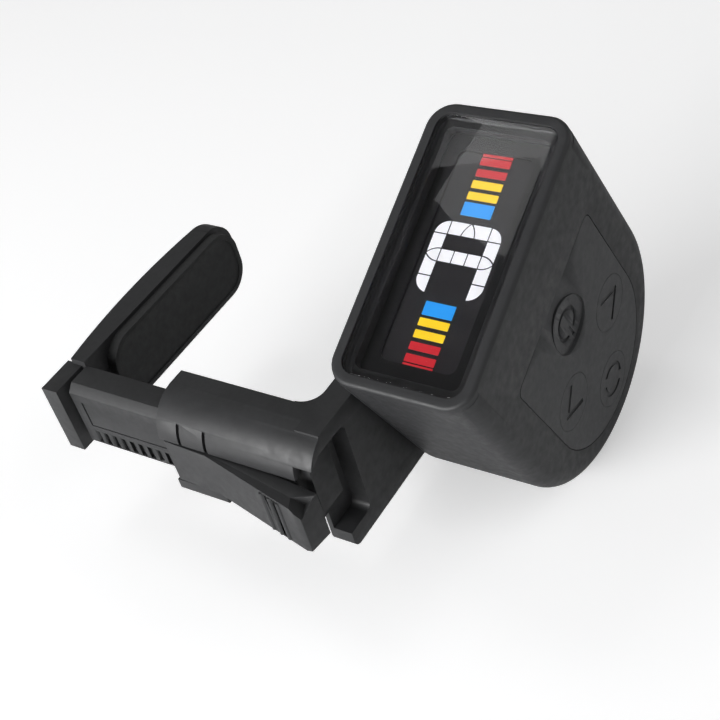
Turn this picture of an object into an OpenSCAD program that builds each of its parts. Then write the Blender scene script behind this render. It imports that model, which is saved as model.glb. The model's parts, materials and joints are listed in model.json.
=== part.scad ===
// Clip-on tuner for an instrument headstock: ratchet clip, swivelling head, keys and display.
// Units are millimetres. X runs along the ratchet bar from the far jaw to the head,
// Y runs along the jaws away from the bar, Z is up with the clip lying on its side.
// The origin is the middle of the near jaw's rubber face.

/* [Head] */
// Width of the head across its two flat sides
head_width = 15.4; // [14.6:0.1:18]
// Length of the display rim
rim_length = 30; // [29:0.5:36]
// Distance from the swivel axis to the display rim
front_height = 21.5; // [20.8:0.1:26]
// How far the body sits inside the rim on each side
rim_overhang = 0.3; // [0.2:0.1:0.8]
// Thickness of the display rim
rim_thickness = 1.3; // [1:0.1:2]
// Corner radius of the display rim
rim_corner = 2.7; // [1.5:0.1:3]
// Wall of the head shell
head_wall = 1.2; // [0.9:0.1:1.4]
// Thickness of the cover that faces the clip
cover_thickness = 1.5; // [1.3:0.1:1.8]
// Bevel on the long edges of the head
head_bevel = 1.6; // [0.8:0.1:1.8]

/* [Display] */
// Margin of the rim around the glass
rim_margin = 1.15; // [0.9:0.05:1.5]
// Thickness of the glass
glass_thickness = 1.1; // [0.8:0.1:1.2]
// Width of the lit area
lit_width = 8.1; // [7:0.1:9]
// Length of the lit area
lit_length = 22.2; // [18:0.1:22.6]
// Depth of the display panel behind the glass
panel_sink = 1.2; // [0.8:0.1:1.4]
// Thickness of the display panel
panel_thickness = 1.6; // [1.2:0.1:1.8]
// Height of the note letter
letter_height = 7.6; // [5:0.1:8]
// Width of the note letter
letter_width = 7.2; // [5:0.1:7.6]
// Stroke of the note letter
letter_stroke = 1.35; // [0.9:0.05:1.5]

/* [Keys] */
// Half width of the rubber key field
field_half_width = 9.7; // [9.2:0.1:10]
// Front edge of the key field, above the swivel axis
field_front = 13; // [12:0.1:13.6]
// Drop of the key field's round end below the swivel axis
field_drop = 1.8; // [1:0.1:2]
// Radius of each key
key_radius = 3; // [2.4:0.1:3.2]
// Travel of each key
key_travel = 0.4; // [0.2:0.05:0.45]
// Depth of the finger valley at its front end
valley_depth = 0.9; // [0.4:0.1:1]
// Radius of the finger valley
valley_radius = 14; // [11:0.5:18]

/* [Battery] */
// Diameter of the coin cell
cell_diameter = 20; // [20:0.1:20.2]
// Thickness of the coin cell
cell_thickness = 3.2; // [2.5:0.1:3.3]
// Running gap around the battery drawer
drawer_gap = 0.15; // [0.1:0.01:0.2]

/* [Swivel] */
// Swivel axis from the near jaw's rubber face, along the bar
pivot_x = 12.2; // [12:0.1:14]
// Swivel axis along the jaws
pivot_y = 9.2; // [8.6:0.1:11]
// Swivel axis height
pivot_z = -1.15; // [-1.5:0.05:-0.8]
// Tilt of the display away from the clip's upper side, in degrees
head_tilt = 26.1; // [0:0.1:40]
// Radius of the swivel hub
hub_radius = 2.9; // [2.4:0.1:3.2]
// Running gap between the hub and the cover
hub_gap = 0.05; // [0.03:0.01:0.08]

/* [Clip] */
// Thickness of the near jaw plate
plate_thickness = 2.8; // [2.2:0.1:3]
// Height of the near jaw plate
plate_height = 16.5; // [15.5:0.1:17.2]
// Length of the sleeve that guides the bar
sleeve_length = 19.5; // [17:0.5:23]
// Height of the sleeve
sleeve_height = 11.8; // [11.2:0.1:12.6]
// Outer corner radius of the sleeve
sleeve_round = 4.2; // [2:0.1:4.3]
// Running gap around the bar
bar_gap = 0.15; // [0.1:0.01:0.2]
// Height of the ratchet bar
bar_height = 8.1; // [7.4:0.1:8.2]
// Thickness of the ratchet bar
bar_thickness = 3.5; // [3:0.1:3.6]
// Inner face of the ratchet bar
bar_inner_y = -14.15; // [-15:0.05:-14]
// Bar end past the near jaw's rubber face
bar_end_x = 2.8; // [0:0.1:3.5]
// Spacing of the ratchet notches
notch_pitch = 1.26; // [1.1:0.02:1.6]
// Depth of the ratchet notches
notch_depth = 0.35; // [0.2:0.05:0.5]

/* [Jaws] */
// Opening between the rubber faces
jaw_opening = 27.5; // [24:0.5:31]
// Length of the far jaw's rubber pad
pad_length = 23.2; // [20:0.2:25]
// Height of the far jaw's rubber pad
pad_height = 8.4; // [7:0.1:9]
// Thickness of the rubber pads
pad_thickness = 1.2; // [0.8:0.1:1.4]
// Thickness of the far jaw arm
arm_thickness = 2.9; // [2.6:0.1:3.6]
// Height of the far jaw arm
arm_height = 9.3; // [8.6:0.1:10]

/* [Lever] */
// Lever pivot along the bar
lever_pivot_x = -10.2; // [-10.8:0.1:-9]
// Lever end past the near jaw's rubber face
lever_end_x = 4.6; // [3:0.1:5]
// Stand-off of the lever's finger end
lever_flare = 3.3; // [2.4:0.1:3.6]
// Width of the lever
lever_width = 5.8; // [5:0.1:5.9]
// Radius of the lever's pivot stubs
stub_radius = 0.35; // [0.25:0.01:0.4]
// Running gap around the lever's pivot stubs
stub_gap = 0.05; // [0.03:0.01:0.08]

/* [Hidden] */
$fn = 48;
eps = 0.01;
body_half = rim_length / 2 - rim_overhang;
side_x = head_width / 2;
cover_inner_x = -side_x + cover_thickness;
rim_under = front_height - rim_thickness;
cavity_half = body_half - head_wall;
side_wall = 1.4;
cavity_x1 = side_x - side_wall;
ledge_z0 = front_height - 2.3;
glass_half_x = side_x - rim_margin;
glass_half_y = rim_length / 2 - rim_margin;
glass_z0 = front_height - 0.1 - glass_thickness;
ledge_half_x = glass_half_x - 0.95;
ledge_half_y = glass_half_y - 1.05;
mask_thickness = 0.3;
panel_z1 = glass_z0 - panel_sink - mask_thickness;
panel_z0 = panel_z1 - panel_thickness;
panel_half_x = ledge_half_x - 0.3;
panel_half_y = ledge_half_y - 0.4;
segment_t = 0.06;
bar_long = 3.2;
bar_thin = 0.75;
bar_thick = 1.4;
bar_pitch = 1.22;
first_bar = letter_height / 2 + 1.6;
frame_half_x = panel_half_x + 0.5;
frame_half_y = panel_half_y + 0.4;
frame_t = 1.7;
guide_t = 1;
board_z1 = panel_z0 - frame_t;
board_t = 1;
board_z0 = board_z1 - board_t;
key_board_x1 = cavity_x1 - 1.3;
key_board_t = 0.8;
key_board_x0 = key_board_x1 - key_board_t;
key_board_half = cavity_half - 1.6;
dome_height = 0.4;
field_arc_z = -field_drop;
membrane_x0 = cavity_x1 - 0.45;
flange_extra = 0.75;
key_cap_t = 0.7;
key_step_x = side_x - key_cap_t - key_travel - 0.05;
stem_radius = key_radius - 0.65;
key_gap = 0.1;
up_y = 5.6;
up_z = 0.2;
power_z = 7.3;
mode_z = -7.5;
cell_r = cell_diameter / 2;
drawer_wall = 0.6;
drawer_t = cell_thickness + 0.1 + drawer_wall;
washer_t = 0.35;
screw_head_t = 0.7;
hub_end_x = cover_inner_x + 0.12;
drawer_x0 = hub_end_x + washer_t + screw_head_t + 0.15;
drawer_x1 = drawer_x0 + drawer_t;
drawer_half = cell_r + 1;
cell_z = -2.5;
drawer_top = cell_z + cell_r + 1.4;
post_y = cavity_half - 1.8;
post_z = drawer_top + 2.6;
post_r = 1.6;
screw_r = 0.6;
plate_x0 = pad_thickness;
plate_x1 = plate_x0 + plate_thickness;
sleeve_x0 = plate_x1 - sleeve_length;
bar_outer_y = bar_inner_y - bar_thickness;
channel_y0 = bar_outer_y - bar_gap;
channel_y1 = bar_inner_y + bar_gap;
channel_half = bar_height / 2 + bar_gap;
sleeve_wall = 1.05;
sleeve_y0 = channel_y0 - sleeve_wall;
sleeve_y1 = channel_y1 + 1.3;
sleeve_z1 = sleeve_height / 2 + 0.15;
sleeve_z0 = -sleeve_height / 2 + 0.15;
plate_z1 = sleeve_z1;
plate_z0 = plate_z1 - plate_height;
plate_mid_z = (plate_z0 + plate_z1) / 2;
plate_r = plate_height / 2;
shell_edge_z = 1.75;
pocket_depth = 2.2;
foot_lip = 2.3;
corner_fillet = 2.2;
lever_z0 = shell_edge_z - 0.15 - lever_width;
lever_z1 = shell_edge_z - 0.15;
hinge_y = channel_y0 - sleeve_wall / 2 + 0.03;
arm_x1 = -jaw_opening - pad_thickness;
arm_x0 = arm_x1 - arm_thickness;
arm_tip_y = pad_length / 2 + 0.8;
arm_bow = 90;
near_pad_y0 = sleeve_y1 + 3.9;
near_pad_mid = (near_pad_y0 + arm_tip_y) / 2;
near_pad_length = arm_tip_y - near_pad_y0;
bar_bevel = 0.85;

// Places the head's own frame: its origin on the swivel axis, display towards local +Z.
module in_head() {
    translate([pivot_x, pivot_y, pivot_z])
        rotate([head_tilt, 0, 0])
            children();
}

// Extrudes a Y-Z outline along X, from x0 to x1.
module along_x(x0, x1) {
    translate([x0, 0, 0])
        rotate([90, 0, 90])
            linear_extrude(x1 - x0)
                children();
}

// Flat-topped round-bottomed outline of the head.
module head_outline(half, top) {
    circle(half, $fn = 96);
    translate([-half, 0])
        square([2 * half, top]);
}

// Rectangle with round corners, centred.
module round_rect(width, length, r) {
    square([width - 2 * r, length], center = true);
    square([width, length - 2 * r], center = true);
    for (sx = [-1, 1])
        for (sy = [-1, 1])
            translate([sx * (width / 2 - r), sy * (length / 2 - r)])
                circle(r);
}

// Rectangle from y0,z0 to y1,z1 with a radius at one upper corner and a small one elsewhere.
module sleeve_outline(y0, y1, z0, z1, big, small) {
    difference() {
        translate([y0, z0])
            square([y1 - y0, z1 - z0]);
        translate([y0 - eps, z1 - big])
            square([big + eps, big + eps]);
        translate([y0 - eps, z0 - eps])
            square([small + eps, small + eps]);
        translate([y1 - small, z1 - small])
            square([small + eps, small + eps]);
        translate([y1 - small, z0 - eps])
            square([small + eps, small + eps]);
    }
    intersection() {
        translate([y0 + big, z1 - big])
            circle(big, $fn = 64);
        translate([y0, z1 - big])
            square([min(big, y1 - y0), big]);
    }
    translate([y0 + small, z0 + small])
        circle(small);
    translate([y1 - small, z1 - small])
        circle(small);
    translate([y1 - small, z0 + small])
        circle(small);
}

// Outline of the key field, grown by a margin.
module field_outline(grow) {
    half = field_half_width + grow;
    translate([0, field_arc_z])
        circle(half, $fn = 72);
    translate([-half, field_arc_z])
        square([2 * half, field_front + grow - field_arc_z - 1]);
    translate([-half + 1, field_front + grow - 1 - eps])
        square([2 * half - 2, 1 + eps]);
    for (side = [-1, 1])
        translate([side * (half - 1), field_front + grow - 1])
            circle(1);
}

// Cutter for the finger valley that runs forward over the power key.
module finger_valley() {
    translate([side_x + valley_radius - valley_depth, 0, field_front])
        rotate([0, -5.6, 0])
            translate([0, 0, -14])
                cylinder(h = 18, r = valley_radius, $fn = 96);
}

module head_housing() {
    color([0.17, 0.17, 0.175])
    in_head()
    difference() {
        union() {
            along_x(cover_inner_x, side_x - head_bevel)
                head_outline(body_half, rim_under + eps);
            hull() {
                along_x(side_x - head_bevel - eps, side_x - head_bevel)
                    head_outline(body_half, rim_under + eps, $fn = 32);
                along_x(side_x - eps, side_x)
                    head_outline(body_half - head_bevel, rim_under + eps, $fn = 32);
            }
            translate([0, 0, rim_under])
                linear_extrude(rim_thickness)
                    round_rect(2 * side_x, rim_length, rim_corner);
            for (side = [-1, 1])
                along_x(cover_inner_x, cavity_x1 + eps)
                    translate([side * post_y, post_z])
                        circle(post_r - 0.4);
        }
        // main hollow, open towards the cover, leaving the screw posts
        difference() {
            along_x(cover_inner_x - 1, cavity_x1)
                head_outline(cavity_half, ledge_z0);
            for (side = [-1, 1])
                along_x(cover_inner_x, cavity_x1 + eps)
                    translate([side * post_y, post_z])
                        circle(post_r);
        }
        // seat of the glass and the opening behind it
        translate([0, 0, glass_z0])
            linear_extrude(3)
                round_rect(2 * glass_half_x, 2 * glass_half_y, 1.6);
        translate([0, 0, ledge_z0 - eps])
            linear_extrude(3)
                round_rect(2 * ledge_half_x, 2 * ledge_half_y, 0.8);
        // opening of the key field
        along_x(cavity_x1 - 1, side_x + 1)
            field_outline(0);
        // mouth of the battery drawer
        translate([drawer_x0 - drawer_gap, -drawer_half - drawer_gap, -body_half - 2])
            cube([drawer_t + 2 * drawer_gap, 2 * drawer_half + 2 * drawer_gap, body_half]);
        // pilot holes in the posts
        for (side = [-1, 1])
            translate([cover_inner_x - eps, side * post_y, post_z])
                rotate([0, 90, 0])
                    cylinder(h = 5, r = screw_r + 0.02);
    }
}

module side_cover() {
    color([0.16, 0.16, 0.165])
    in_head()
    difference() {
        union() {
            along_x(cover_inner_x - 0.6, cover_inner_x)
                head_outline(body_half, rim_under - 0.02);
            hull() {
                along_x(cover_inner_x - 0.6 - eps, cover_inner_x - 0.6)
                    head_outline(body_half, rim_under - 0.02, $fn = 32);
                along_x(-side_x, -side_x + eps)
                    head_outline(body_half - head_bevel, rim_under - 0.02, $fn = 32);
            }
        }
        rotate([0, 90, 0])
            translate([0, 0, -side_x - 1])
                cylinder(h = 4, r = hub_radius + hub_gap);
        for (side = [-1, 1])
            translate([-side_x - 1, side * post_y, post_z])
                rotate([0, 90, 0]) {
                    cylinder(h = 1 + 0.8, r = 1.3);
                    cylinder(h = 4, r = screw_r + 0.1);
                }
    }
}

module cover_screws() {
    color([0.35, 0.35, 0.36])
    in_head()
    for (side = [-1, 1])
        translate([-side_x + 0.15, side * post_y, post_z])
            rotate([0, 90, 0])
                difference() {
                    union() {
                        cylinder(h = 0.65, r = 1.2);
                        cylinder(h = cover_thickness + 3, r = screw_r);
                    }
                    translate([0, 0, -eps])
                        for (turn = [0, 90])
                            rotate([0, 0, turn])
                                translate([-0.7, -0.14, 0])
                                    cube([1.4, 0.28, 0.35]);
                }
}

module display_window() {
    color([0.02, 0.02, 0.025, 0.5])
    in_head()
        translate([0, 0, glass_z0])
            linear_extrude(glass_thickness)
                round_rect(2 * glass_half_x - 0.1, 2 * glass_half_y - 0.1, 1.55);
}

module display_mask() {
    color([0.01, 0.01, 0.012])
    in_head()
        translate([0, 0, panel_z1])
            linear_extrude(mask_thickness)
                difference() {
                    round_rect(2 * ledge_half_x - 0.1, 2 * ledge_half_y - 0.1, 0.75);
                    round_rect(lit_width, lit_length, 0.9);
                }
}

module display_panel() {
    color([0.18, 0.17, 0.18])
    in_head()
        translate([-panel_half_x, -panel_half_y, panel_z0])
            cube([2 * panel_half_x, 2 * panel_half_y, panel_thickness]);
}

// One bar of the tuning meter, centred at a place along the display.
module meter_bar(place, length, thick) {
    translate([-length / 2, place - thick / 2, panel_z1])
        cube([length, thick, segment_t]);
}

module meter_red() {
    color([0.8, 0.12, 0.13])
    in_head()
    for (side = [-1, 1]) {
        for (k = [3, 4])
            meter_bar(side * (first_bar + k * bar_pitch), bar_long, bar_thin);
        // the last bar is cut short by the mask
        meter_bar(side * (lit_length / 2 - 0.15), bar_long, 0.26);
    }
}

module meter_yellow() {
    color([0.95, 0.82, 0.1])
    in_head()
    for (side = [-1, 1])
        for (k = [1, 2])
            meter_bar(side * (first_bar + k * bar_pitch), bar_long, bar_thin);
}

module meter_blue() {
    color([0.12, 0.55, 0.9])
    in_head()
    for (side = [-1, 1])
        meter_bar(side * (first_bar - bar_thick / 8), bar_long, bar_thick);
}

module note_letter() {
    color([0.95, 0.96, 0.98])
    in_head()
    translate([0, 0, panel_z1])
        linear_extrude(segment_t)
            difference() {
                union() {
                    for (side = [-1, 1])
                        translate([side * (letter_width - letter_stroke) / 2, -letter_stroke / 4])
                            square([letter_stroke, letter_height - letter_stroke / 2], center = true);
                    translate([0, (letter_height - letter_stroke) / 2])
                        square([letter_width - letter_stroke, letter_stroke], center = true);
                    translate([0, -letter_stroke / 3])
                        square([letter_width, letter_stroke], center = true);
                }
                for (side = [-1, 1])
                    translate([side * (letter_width - 1.9 * letter_stroke) / 2, -letter_stroke / 3])
                        square([0.14, letter_stroke * 1.1], center = true);
            }
}

module display_frame() {
    color([0.85, 0.85, 0.83])
    in_head()
    difference() {
        translate([-frame_half_x, -frame_half_y, board_z1])
            cube([2 * frame_half_x, 2 * frame_half_y, frame_t]);
        translate([-frame_half_x + 0.9, -frame_half_y + 1.5, board_z1 - 1])
            cube([2 * frame_half_x - 1.8, 2 * frame_half_y - 3, frame_t + 2]);
    }
}

module light_guide() {
    color([0.9, 0.93, 0.95, 0.8])
    in_head()
        translate([-frame_half_x + 0.9, -frame_half_y + 3.4, panel_z0 - guide_t])
            cube([2 * frame_half_x - 1.8, 2 * frame_half_y - 6.8, guide_t]);
}

module backlight_leds() {
    color([0.95, 0.9, 0.6])
    in_head()
    for (place = [-5, 0, 5])
        translate([-0.8, place - 0.4, board_z1])
            cube([1.6, 0.8, frame_t - guide_t]);
}

module display_connectors() {
    color([0.75, 0.35, 0.45])
    in_head()
    for (side = [-1, 1])
        translate([-panel_half_x + 0.7, side * (frame_half_y - 2.3) - 0.6, board_z1])
            cube([2 * panel_half_x - 1.4, 1.2, frame_t]);
}

module main_board() {
    color([0.06, 0.3, 0.16])
    in_head()
        translate([-frame_half_x, -frame_half_y, board_z0])
            cube([2 * frame_half_x, 2 * frame_half_y, board_t]);
}

module microcontroller() {
    color([0.05, 0.05, 0.05])
    in_head()
        translate([-4.3, -2.5, board_z0 - 0.9])
            cube([5, 5, 0.9]);
}

module board_parts() {
    color([0.55, 0.45, 0.3])
    in_head() {
        for (place = [-8.2, -6.6, -5, 4.2, 5.8, 7.4])
            translate([-3.4, place - 0.4, board_z0 - 0.5])
                cube([1.2, 0.8, 0.5]);
        translate([0.2, 4.6, board_z0 - 0.8])
            cube([1.4, 3.6, 0.8]);
        translate([1, -6.4, board_z0])
            rotate([180, 0, 0])
                cylinder(h = 1, r = 1.2);
    }
}

module board_link() {
    color([0.1, 0.1, 0.1])
    in_head()
        translate([key_board_x0 - 1, -4, board_z0 - 3])
            cube([1, 8, 3]);
}

module key_board() {
    color([0.07, 0.28, 0.16])
    in_head()
    difference() {
        along_x(key_board_x0, key_board_x1)
            intersection() {
                head_outline(key_board_half, board_z0 - 0.1);
                translate([-key_board_half + 1.2, -20])
                    square([2 * key_board_half - 2.4, 40]);
            }
        for (side = [-1, 1])
            translate([key_board_x0 - 1, side * post_y, post_z])
                rotate([0, 90, 0])
                    cylinder(h = 3, r = post_r + 0.3);
    }
}

// Places something at a key, in the head's frame.
module at_key(y, z, x) {
    translate([x, y, z])
        rotate([0, 90, 0])
            children();
}

module key_domes() {
    color([0.8, 0.8, 0.82])
    in_head()
    for (place = [[0, power_z], [up_y, up_z], [-up_y, up_z], [0, mode_z]])
        at_key(place[0], place[1], key_board_x1) {
            cylinder(h = dome_height * 0.5, r = 2.2);
            cylinder(h = dome_height, r = 1.5);
        }
}

module key_field() {
    color([0.22, 0.225, 0.23])
    in_head()
    difference() {
        union() {
            along_x(membrane_x0, side_x)
                field_outline(-0.06);
            along_x(membrane_x0, cavity_x1 - 0.02)
                field_outline(flange_extra);
        }
        for (place = [[0, power_z], [up_y, up_z], [-up_y, up_z], [0, mode_z]]) {
            at_key(place[0], place[1], key_step_x)
                cylinder(h = 4, r = key_radius + key_gap);
            at_key(place[0], place[1], membrane_x0 - 1)
                cylinder(h = 6, r = stem_radius + key_gap);
        }
        for (side = [-1, 1])
            along_x(membrane_x0 - 1, cavity_x1)
                translate([side * post_y, post_z])
                    circle(post_r + 0.1);
        finger_valley();
    }
}

// A key cap with its stem, before its icon is cut.
module key_blank(y, z) {
    at_key(y, z, side_x - key_cap_t)
        cylinder(h = key_cap_t, r = key_radius);
    at_key(y, z, key_board_x1 + dome_height + key_travel + 0.04)
        cylinder(h = side_x - key_cap_t - key_board_x1 - dome_height - key_travel, r = stem_radius);
}

module power_key() {
    color([0.22, 0.225, 0.23])
    in_head()
    difference() {
        key_blank(0, power_z);
        // the cap dips with the valley
        translate([side_x + valley_radius - valley_depth * 0.55, 0, power_z - 6])
            cylinder(h = 12, r = valley_radius, $fn = 96);
        // icon: a ring with a gap and a bar in the gap
        at_key(0, power_z, side_x - valley_depth * 0.55 - 0.15)
            difference() {
                cylinder(h = 2, r = 1.9);
                translate([0, 0, -1])
                    cylinder(h = 4, r = 1.45);
                translate([0, -0.55, -1])
                    cube([3, 1.1, 4]);
            }
        translate([side_x - valley_depth * 0.55 - 0.15, -0.22, power_z - 2.5])
            cube([1, 0.44, 1.6]);
    }
}

// Two short grooves that meet in a point, for an arrow icon.
module chevron(turn) {
    for (lean = [-1, 1])
        rotate([0, 0, turn])
            translate([0, 1.7, 0])
                rotate([0, 0, lean * 36])
                    translate([-0.28, -3.4, 0])
                        cube([0.56, 3.6, 2]);
}

module up_key() {
    color([0.22, 0.225, 0.23])
    in_head()
    difference() {
        key_blank(up_y, up_z);
        at_key(up_y, up_z, side_x - 0.15)
            chevron(0);
    }
}

module down_key() {
    color([0.22, 0.225, 0.23])
    in_head()
    difference() {
        key_blank(-up_y, up_z);
        at_key(-up_y, up_z, side_x - 0.15)
            chevron(180);
    }
}

module mode_key() {
    color([0.22, 0.225, 0.23])
    in_head()
    difference() {
        key_blank(0, mode_z);
        at_key(0, mode_z, side_x - 0.15)
            difference() {
                cylinder(h = 1, r = 2);
                translate([0, 0, -1])
                    cylinder(h = 4, r = 1.5);
                for (turn = [0, 180])
                    rotate([0, 0, turn + 40])
                        translate([0.9, -0.5, -1])
                            cube([2, 1, 4]);
            }
    }
}

module piezo_sensor() {
    color([0.85, 0.75, 0.4])
    in_head()
        translate([cover_inner_x, 0, drawer_top + 3])
            rotate([0, 90, 0]) {
                cylinder(h = 0.25, r = 2.6);
                cylinder(h = 0.45, r = 1.8);
            }
}

// A sprung battery contact standing on the key board.
module contact(y, wide) {
    translate([drawer_x1 + drawer_gap, y - wide / 2, cell_z - 2])
        cube([0.3, wide, 4]);
    translate([drawer_x1 + drawer_gap, y - wide / 2, cell_z + 1.7])
        cube([key_board_x0 - drawer_x1 - drawer_gap, wide, 0.3]);
}

module contact_negative() {
    color([0.8, 0.78, 0.7])
    in_head()
        contact(0, 4);
}

module contact_positive() {
    color([0.8, 0.78, 0.7])
    in_head()
        contact(cell_r - 1.6, 2);
}

module battery_drawer() {
    color([0.15, 0.15, 0.155])
    in_head()
    difference() {
        intersection() {
            along_x(drawer_x0, drawer_x1)
                head_outline(body_half, drawer_top);
            translate([drawer_x0 - 1, -drawer_half, -body_half - 1])
                cube([drawer_t + 2, 2 * drawer_half, drawer_top + body_half + 1]);
        }
        translate([drawer_x0 + drawer_wall, 0, cell_z])
            rotate([0, 90, 0])
                cylinder(h = cell_thickness + 1, r = cell_r + 0.1, $fn = 96);
        translate([drawer_x0 + drawer_wall, -1.2, -body_half - 1])
            cube([drawer_t, 2.4, 1.8]);
    }
}

module coin_cell() {
    color([0.8, 0.8, 0.8])
    in_head()
        translate([drawer_x0 + drawer_wall, 0, cell_z])
            rotate([0, 90, 0]) {
                cylinder(h = cell_thickness - 0.5, r = cell_r, $fn = 96);
                cylinder(h = cell_thickness, r = cell_r - 1.2, $fn = 96);
            }
}

module clamp_body() {
    color([0.19, 0.19, 0.195])
    difference() {
        union() {
            // sleeve
            along_x(sleeve_x0, plate_x1)
                sleeve_outline(sleeve_y0, sleeve_y1, sleeve_z0, sleeve_z1, sleeve_round, 0.2);
            // near jaw plate with its round end on the swivel
            along_x(plate_x0, plate_x1) {
                translate([pivot_y, plate_mid_z])
                    circle(plate_r, $fn = 96);
                translate([sleeve_y0 + 2.7, plate_z0 + 1])
                    square([pivot_y - sleeve_y0 - 2.7, plate_height - 1]);
                translate([sleeve_y0 + 3.7, plate_z0])
                    square([pivot_y - sleeve_y0 - 3.7, plate_height]);
                translate([sleeve_y0 + 3.7, plate_z0 + 1])
                    circle(1);
            }
            // block that the fillet between the sleeve and the plate is cut from
            translate([plate_x0 - corner_fillet, sleeve_y1 - 0.5, sleeve_z0])
                cube([corner_fillet + eps, corner_fillet + 0.5, sleeve_height]);
        }
        translate([plate_x0 - corner_fillet, sleeve_y1 + corner_fillet, sleeve_z0 - 1])
            cylinder(h = sleeve_height + 2, r = corner_fillet, $fn = 64);
        // channel of the bar
        difference() {
            translate([sleeve_x0 - 1, channel_y0, -channel_half])
                cube([sleeve_length + 2, channel_y1 - channel_y0, 2 * channel_half]);
            translate([sleeve_x0 - 2, channel_y0, channel_half])
                rotate([45, 0, 0])
                    translate([0, -0.55, -0.55])
                        cube([sleeve_length + 4, 1.1, 1.1]);
        }
        // slot of the lever, open at both ends
        translate([sleeve_x0 - 1, sleeve_y0 - 1, lever_z0 - 0.15])
            cube([sleeve_length + 2, sleeve_wall + 1 + eps, shell_edge_z - lever_z0 + 0.15]);
        // two slits beside the lever's strap
        for (place = [lever_pivot_x - 2.5, lever_pivot_x + 0.9])
            translate([place - 0.2, sleeve_y0 - 1, shell_edge_z - 1])
                cube([0.4, 1.8, 3.4]);
        // seats of the lever's stubs
        translate([lever_pivot_x, hinge_y, sleeve_z0 - 1])
            cylinder(h = shell_edge_z + 2.1 - sleeve_z0, r = stub_radius + stub_gap, $fn = 32);
        // lower lip steps back beside the lever
        translate([lever_pivot_x + 1.2, sleeve_y0 - 1, sleeve_z0 - 1])
            cube([plate_x1 - lever_pivot_x, 1.8, lever_z0 - sleeve_z0 + 1 - 0.15]);
        // open pocket at the sleeve's end, down to the foot's lip
        along_x(plate_x1 - pocket_depth, plate_x1 + 1)
            sleeve_outline(sleeve_y0 - 2, sleeve_y1 + 0.35, plate_z0 + foot_lip,
                sleeve_z1 - 1.9, sleeve_round + 0.6, 0.8);
        // socket of the swivel hub
        translate([plate_x0 + 0.9, pivot_y, pivot_z])
            rotate([0, 90, 0])
                cylinder(h = plate_thickness, r = hub_radius, $fn = 64);
    }
}

module near_jaw_pad() {
    color([0.13, 0.135, 0.14])
    difference() {
        along_x(0, pad_thickness)
            translate([near_pad_mid, 0])
                round_rect(near_pad_length, pad_height, 3);
        along_x(-1, 0.15)
            translate([near_pad_mid, 0])
                round_rect(near_pad_length - 1.2, pad_height - 1.2, 2.4);
        along_x(-2, 0.3)
            for (place = [-2 : 2])
                translate([near_pad_mid + place * 3, 0])
                    square([0.5, pad_height * 0.6], center = true);
    }
}

module swivel_hub() {
    color([0.3, 0.3, 0.31])
    difference() {
        union() {
            translate([plate_x0 + 0.9, pivot_y, pivot_z])
                rotate([0, 90, 0])
                    cylinder(h = pivot_x + hub_end_x - plate_x0 - 0.9, r = hub_radius, $fn = 64);
            translate([plate_x1, pivot_y, pivot_z])
                rotate([0, 90, 0])
                    cylinder(h = pivot_x - side_x - plate_x1 - 0.1, r = hub_radius + 2, $fn = 64);
        }
        translate([plate_x0, pivot_y, pivot_z])
            rotate([0, 90, 0])
                cylinder(h = 12, r = 0.82, $fn = 32);
    }
}

module swivel_washer() {
    color([0.7, 0.7, 0.72])
    translate([pivot_x + hub_end_x, pivot_y, pivot_z])
        rotate([0, 90, 0])
            difference() {
                cylinder(h = washer_t, r = hub_radius + 1.3, $fn = 64);
                translate([0, 0, -1])
                    cylinder(h = 3, r = 0.9);
            }
}

module swivel_screw() {
    color([0.6, 0.6, 0.62])
    translate([pivot_x + hub_end_x, pivot_y, pivot_z])
        rotate([0, 90, 0])
            difference() {
                union() {
                    translate([0, 0, washer_t])
                        cylinder(h = screw_head_t, r = 1.9);
                    translate([0, 0, -3.6])
                        cylinder(h = 3.7 + washer_t, r = 0.8, $fn = 32);
                }
                for (turn = [0, 90])
                    rotate([0, 0, turn])
                        translate([-1, -0.16, washer_t + screw_head_t - 0.35])
                            cube([2, 0.32, 1]);
            }
}

module release_lever() {
    grip_x = lever_end_x - 5.6;
    color([0.2, 0.2, 0.205])
    union() {
        difference() {
            translate([0, 0, lever_z0])
                linear_extrude(lever_width)
                    polygon([[sleeve_x0 + 0.4, channel_y0 - 0.1], [sleeve_x0 + 0.4, sleeve_y0],
                        [lever_pivot_x + 0.8, sleeve_y0 - 0.25],
                        [lever_end_x - 1, sleeve_y0 - lever_flare],
                        [lever_end_x - 0.4, sleeve_y0 - lever_flare + 0.1],
                        [lever_end_x, sleeve_y0 - 0.5],
                        [lever_pivot_x + 1, channel_y0 - 0.1]]);
            // bevel on the finger end
            translate([lever_end_x + 0.6, sleeve_y0 - lever_flare - 0.6, lever_z1 + 0.6])
                rotate([0, 45, 25])
                    cube([1.8, 6, 3.2], center = true);
        }
        // pivot stubs
        translate([lever_pivot_x, hinge_y, lever_z0 - 0.9])
            cylinder(h = lever_width + 1.8, r = stub_radius, $fn = 32);
        // pawl, which stays just clear of the notches
        translate([sleeve_x0 + 0.6, bar_outer_y - 0.1 - 0.35, lever_z0 + 0.25])
            cube([0.5, 0.35, 1.2]);
        // grip ridges
        for (place = [0, 1, 2])
            translate([grip_x + place * 1.15,
                    sleeve_y0 - lever_flare * (grip_x + place * 1.15 - lever_pivot_x - 0.2)
                    / (lever_end_x - lever_pivot_x - 1) + 0.05,
                    lever_z0 + 0.25])
                cylinder(h = lever_width - 0.5, r = 0.32, $fn = 24);
    }
}

// Outline of the far jaw arm seen along X.
module arm_outline(inset) {
    half = arm_height / 2 - inset;
    tip = arm_tip_y - inset;
    base = bar_inner_y - 0.1;
    r = 3.4;
    translate([base, -half])
        square([tip - r - base, 2 * half]);
    translate([tip - r - eps, -half + r])
        square([r + eps, 2 * half - 2 * r]);
    for (side = [-1, 1])
        translate([tip - r, side * (half - r)])
            circle(r);
}

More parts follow.
